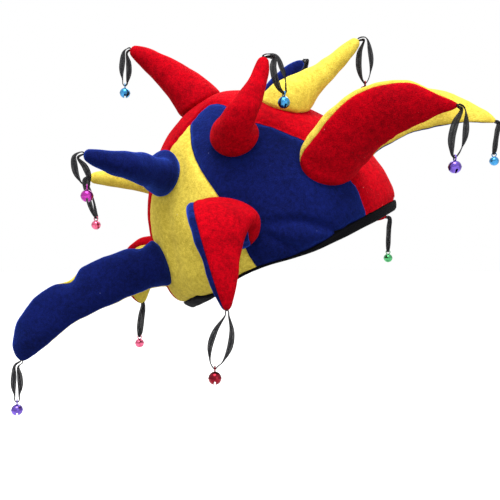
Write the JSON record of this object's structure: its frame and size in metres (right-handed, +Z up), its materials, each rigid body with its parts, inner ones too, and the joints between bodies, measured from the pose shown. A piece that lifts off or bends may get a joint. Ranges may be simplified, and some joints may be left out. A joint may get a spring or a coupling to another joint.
{
  "type": "clown hat",
  "caption": "Plush clown hat with a domed crown of coloured panels, stuffed horns that stick out and droop, and a jingle bell hung on a ribbon loop from each tip.",
  "frame": {"origin": "middle of the head opening, in the plane of the rim", "axes": "+X to the wearer's front, +Y to the wearer's left, +Z up, with the hat tipped back as it is worn"},
  "size_m": [0.4256, 0.2571, 0.3098],
  "materials": {
    "plush_red": "short-pile plush",
    "plush_blue": "short-pile plush",
    "plush_yellow": "short-pile plush",
    "binding_tape": "woven tape",
    "ribbon_organza": "sheer ribbon",
    "bell_blue": "bright coloured metal",
    "bell_green": "bright coloured metal",
    "bell_red": "bright coloured metal",
    "bell_pink": "bright coloured metal",
    "bell_magenta": "bright coloured metal",
    "bell_violet": "bright coloured metal"
  },
  "bodies": {
    "root": {"crown_strip_red": "plush_red", "crown_right_front_blue": "plush_blue", "crown_right_back_yellow": "plush_yellow", "crown_left_front_yellow": "plush_yellow", "crown_left_back_blue": "plush_blue", "rim_binding": "binding_tape", "horn_top_back": "plush_red", "horn_top_right": "plush_red", "horn_top_left": "plush_blue", "horn_top_front": "plush_yellow", "horn_back_right": "plush_blue", "horn_back_left": "plush_yellow", "horn_front_right_outer": "plush_red", "horn_front_right_inner": "plush_yellow", "horn_front_left_outer": "plush_blue", "horn_front_left_inner": "plush_yellow", "horn_low_back_right_outer": "plush_blue", "horn_low_back_right_inner": "plush_yellow", "horn_low_back_left_outer": "plush_red", "horn_low_back_left_inner": "plush_yellow", "horn_ear_right_outer": "plush_red", "horn_ear_right_inner": "plush_blue", "horn_ear_left_outer": "plush_blue", "horn_ear_left_inner": "plush_red", "ribbon_top_back": "ribbon_organza", "ribbon_top_right": "ribbon_organza", "ribbon_top_left": "ribbon_organza", "ribbon_top_front": "ribbon_organza", "ribbon_back_right": "ribbon_organza", "ribbon_back_left": "ribbon_organza", "ribbon_front_right": "ribbon_organza", "ribbon_front_left": "ribbon_organza", "ribbon_low_back_right": "ribbon_organza", "ribbon_low_back_left": "ribbon_organza", "ribbon_ear_right": "ribbon_organza", "ribbon_ear_left": "ribbon_organza", "bell_top_back": "bell_blue", "bell_top_right": "bell_blue", "bell_top_left": "bell_green", "bell_top_front": "bell_red", "bell_back_right": "bell_magenta", "bell_back_left": "bell_pink", "bell_front_right": "bell_violet", "bell_front_left": "bell_blue", "bell_low_back_right": "bell_violet", "bell_low_back_left": "bell_pink", "bell_ear_right": "bell_red", "bell_ear_left": "bell_green"}
  },
  "joints": []
}
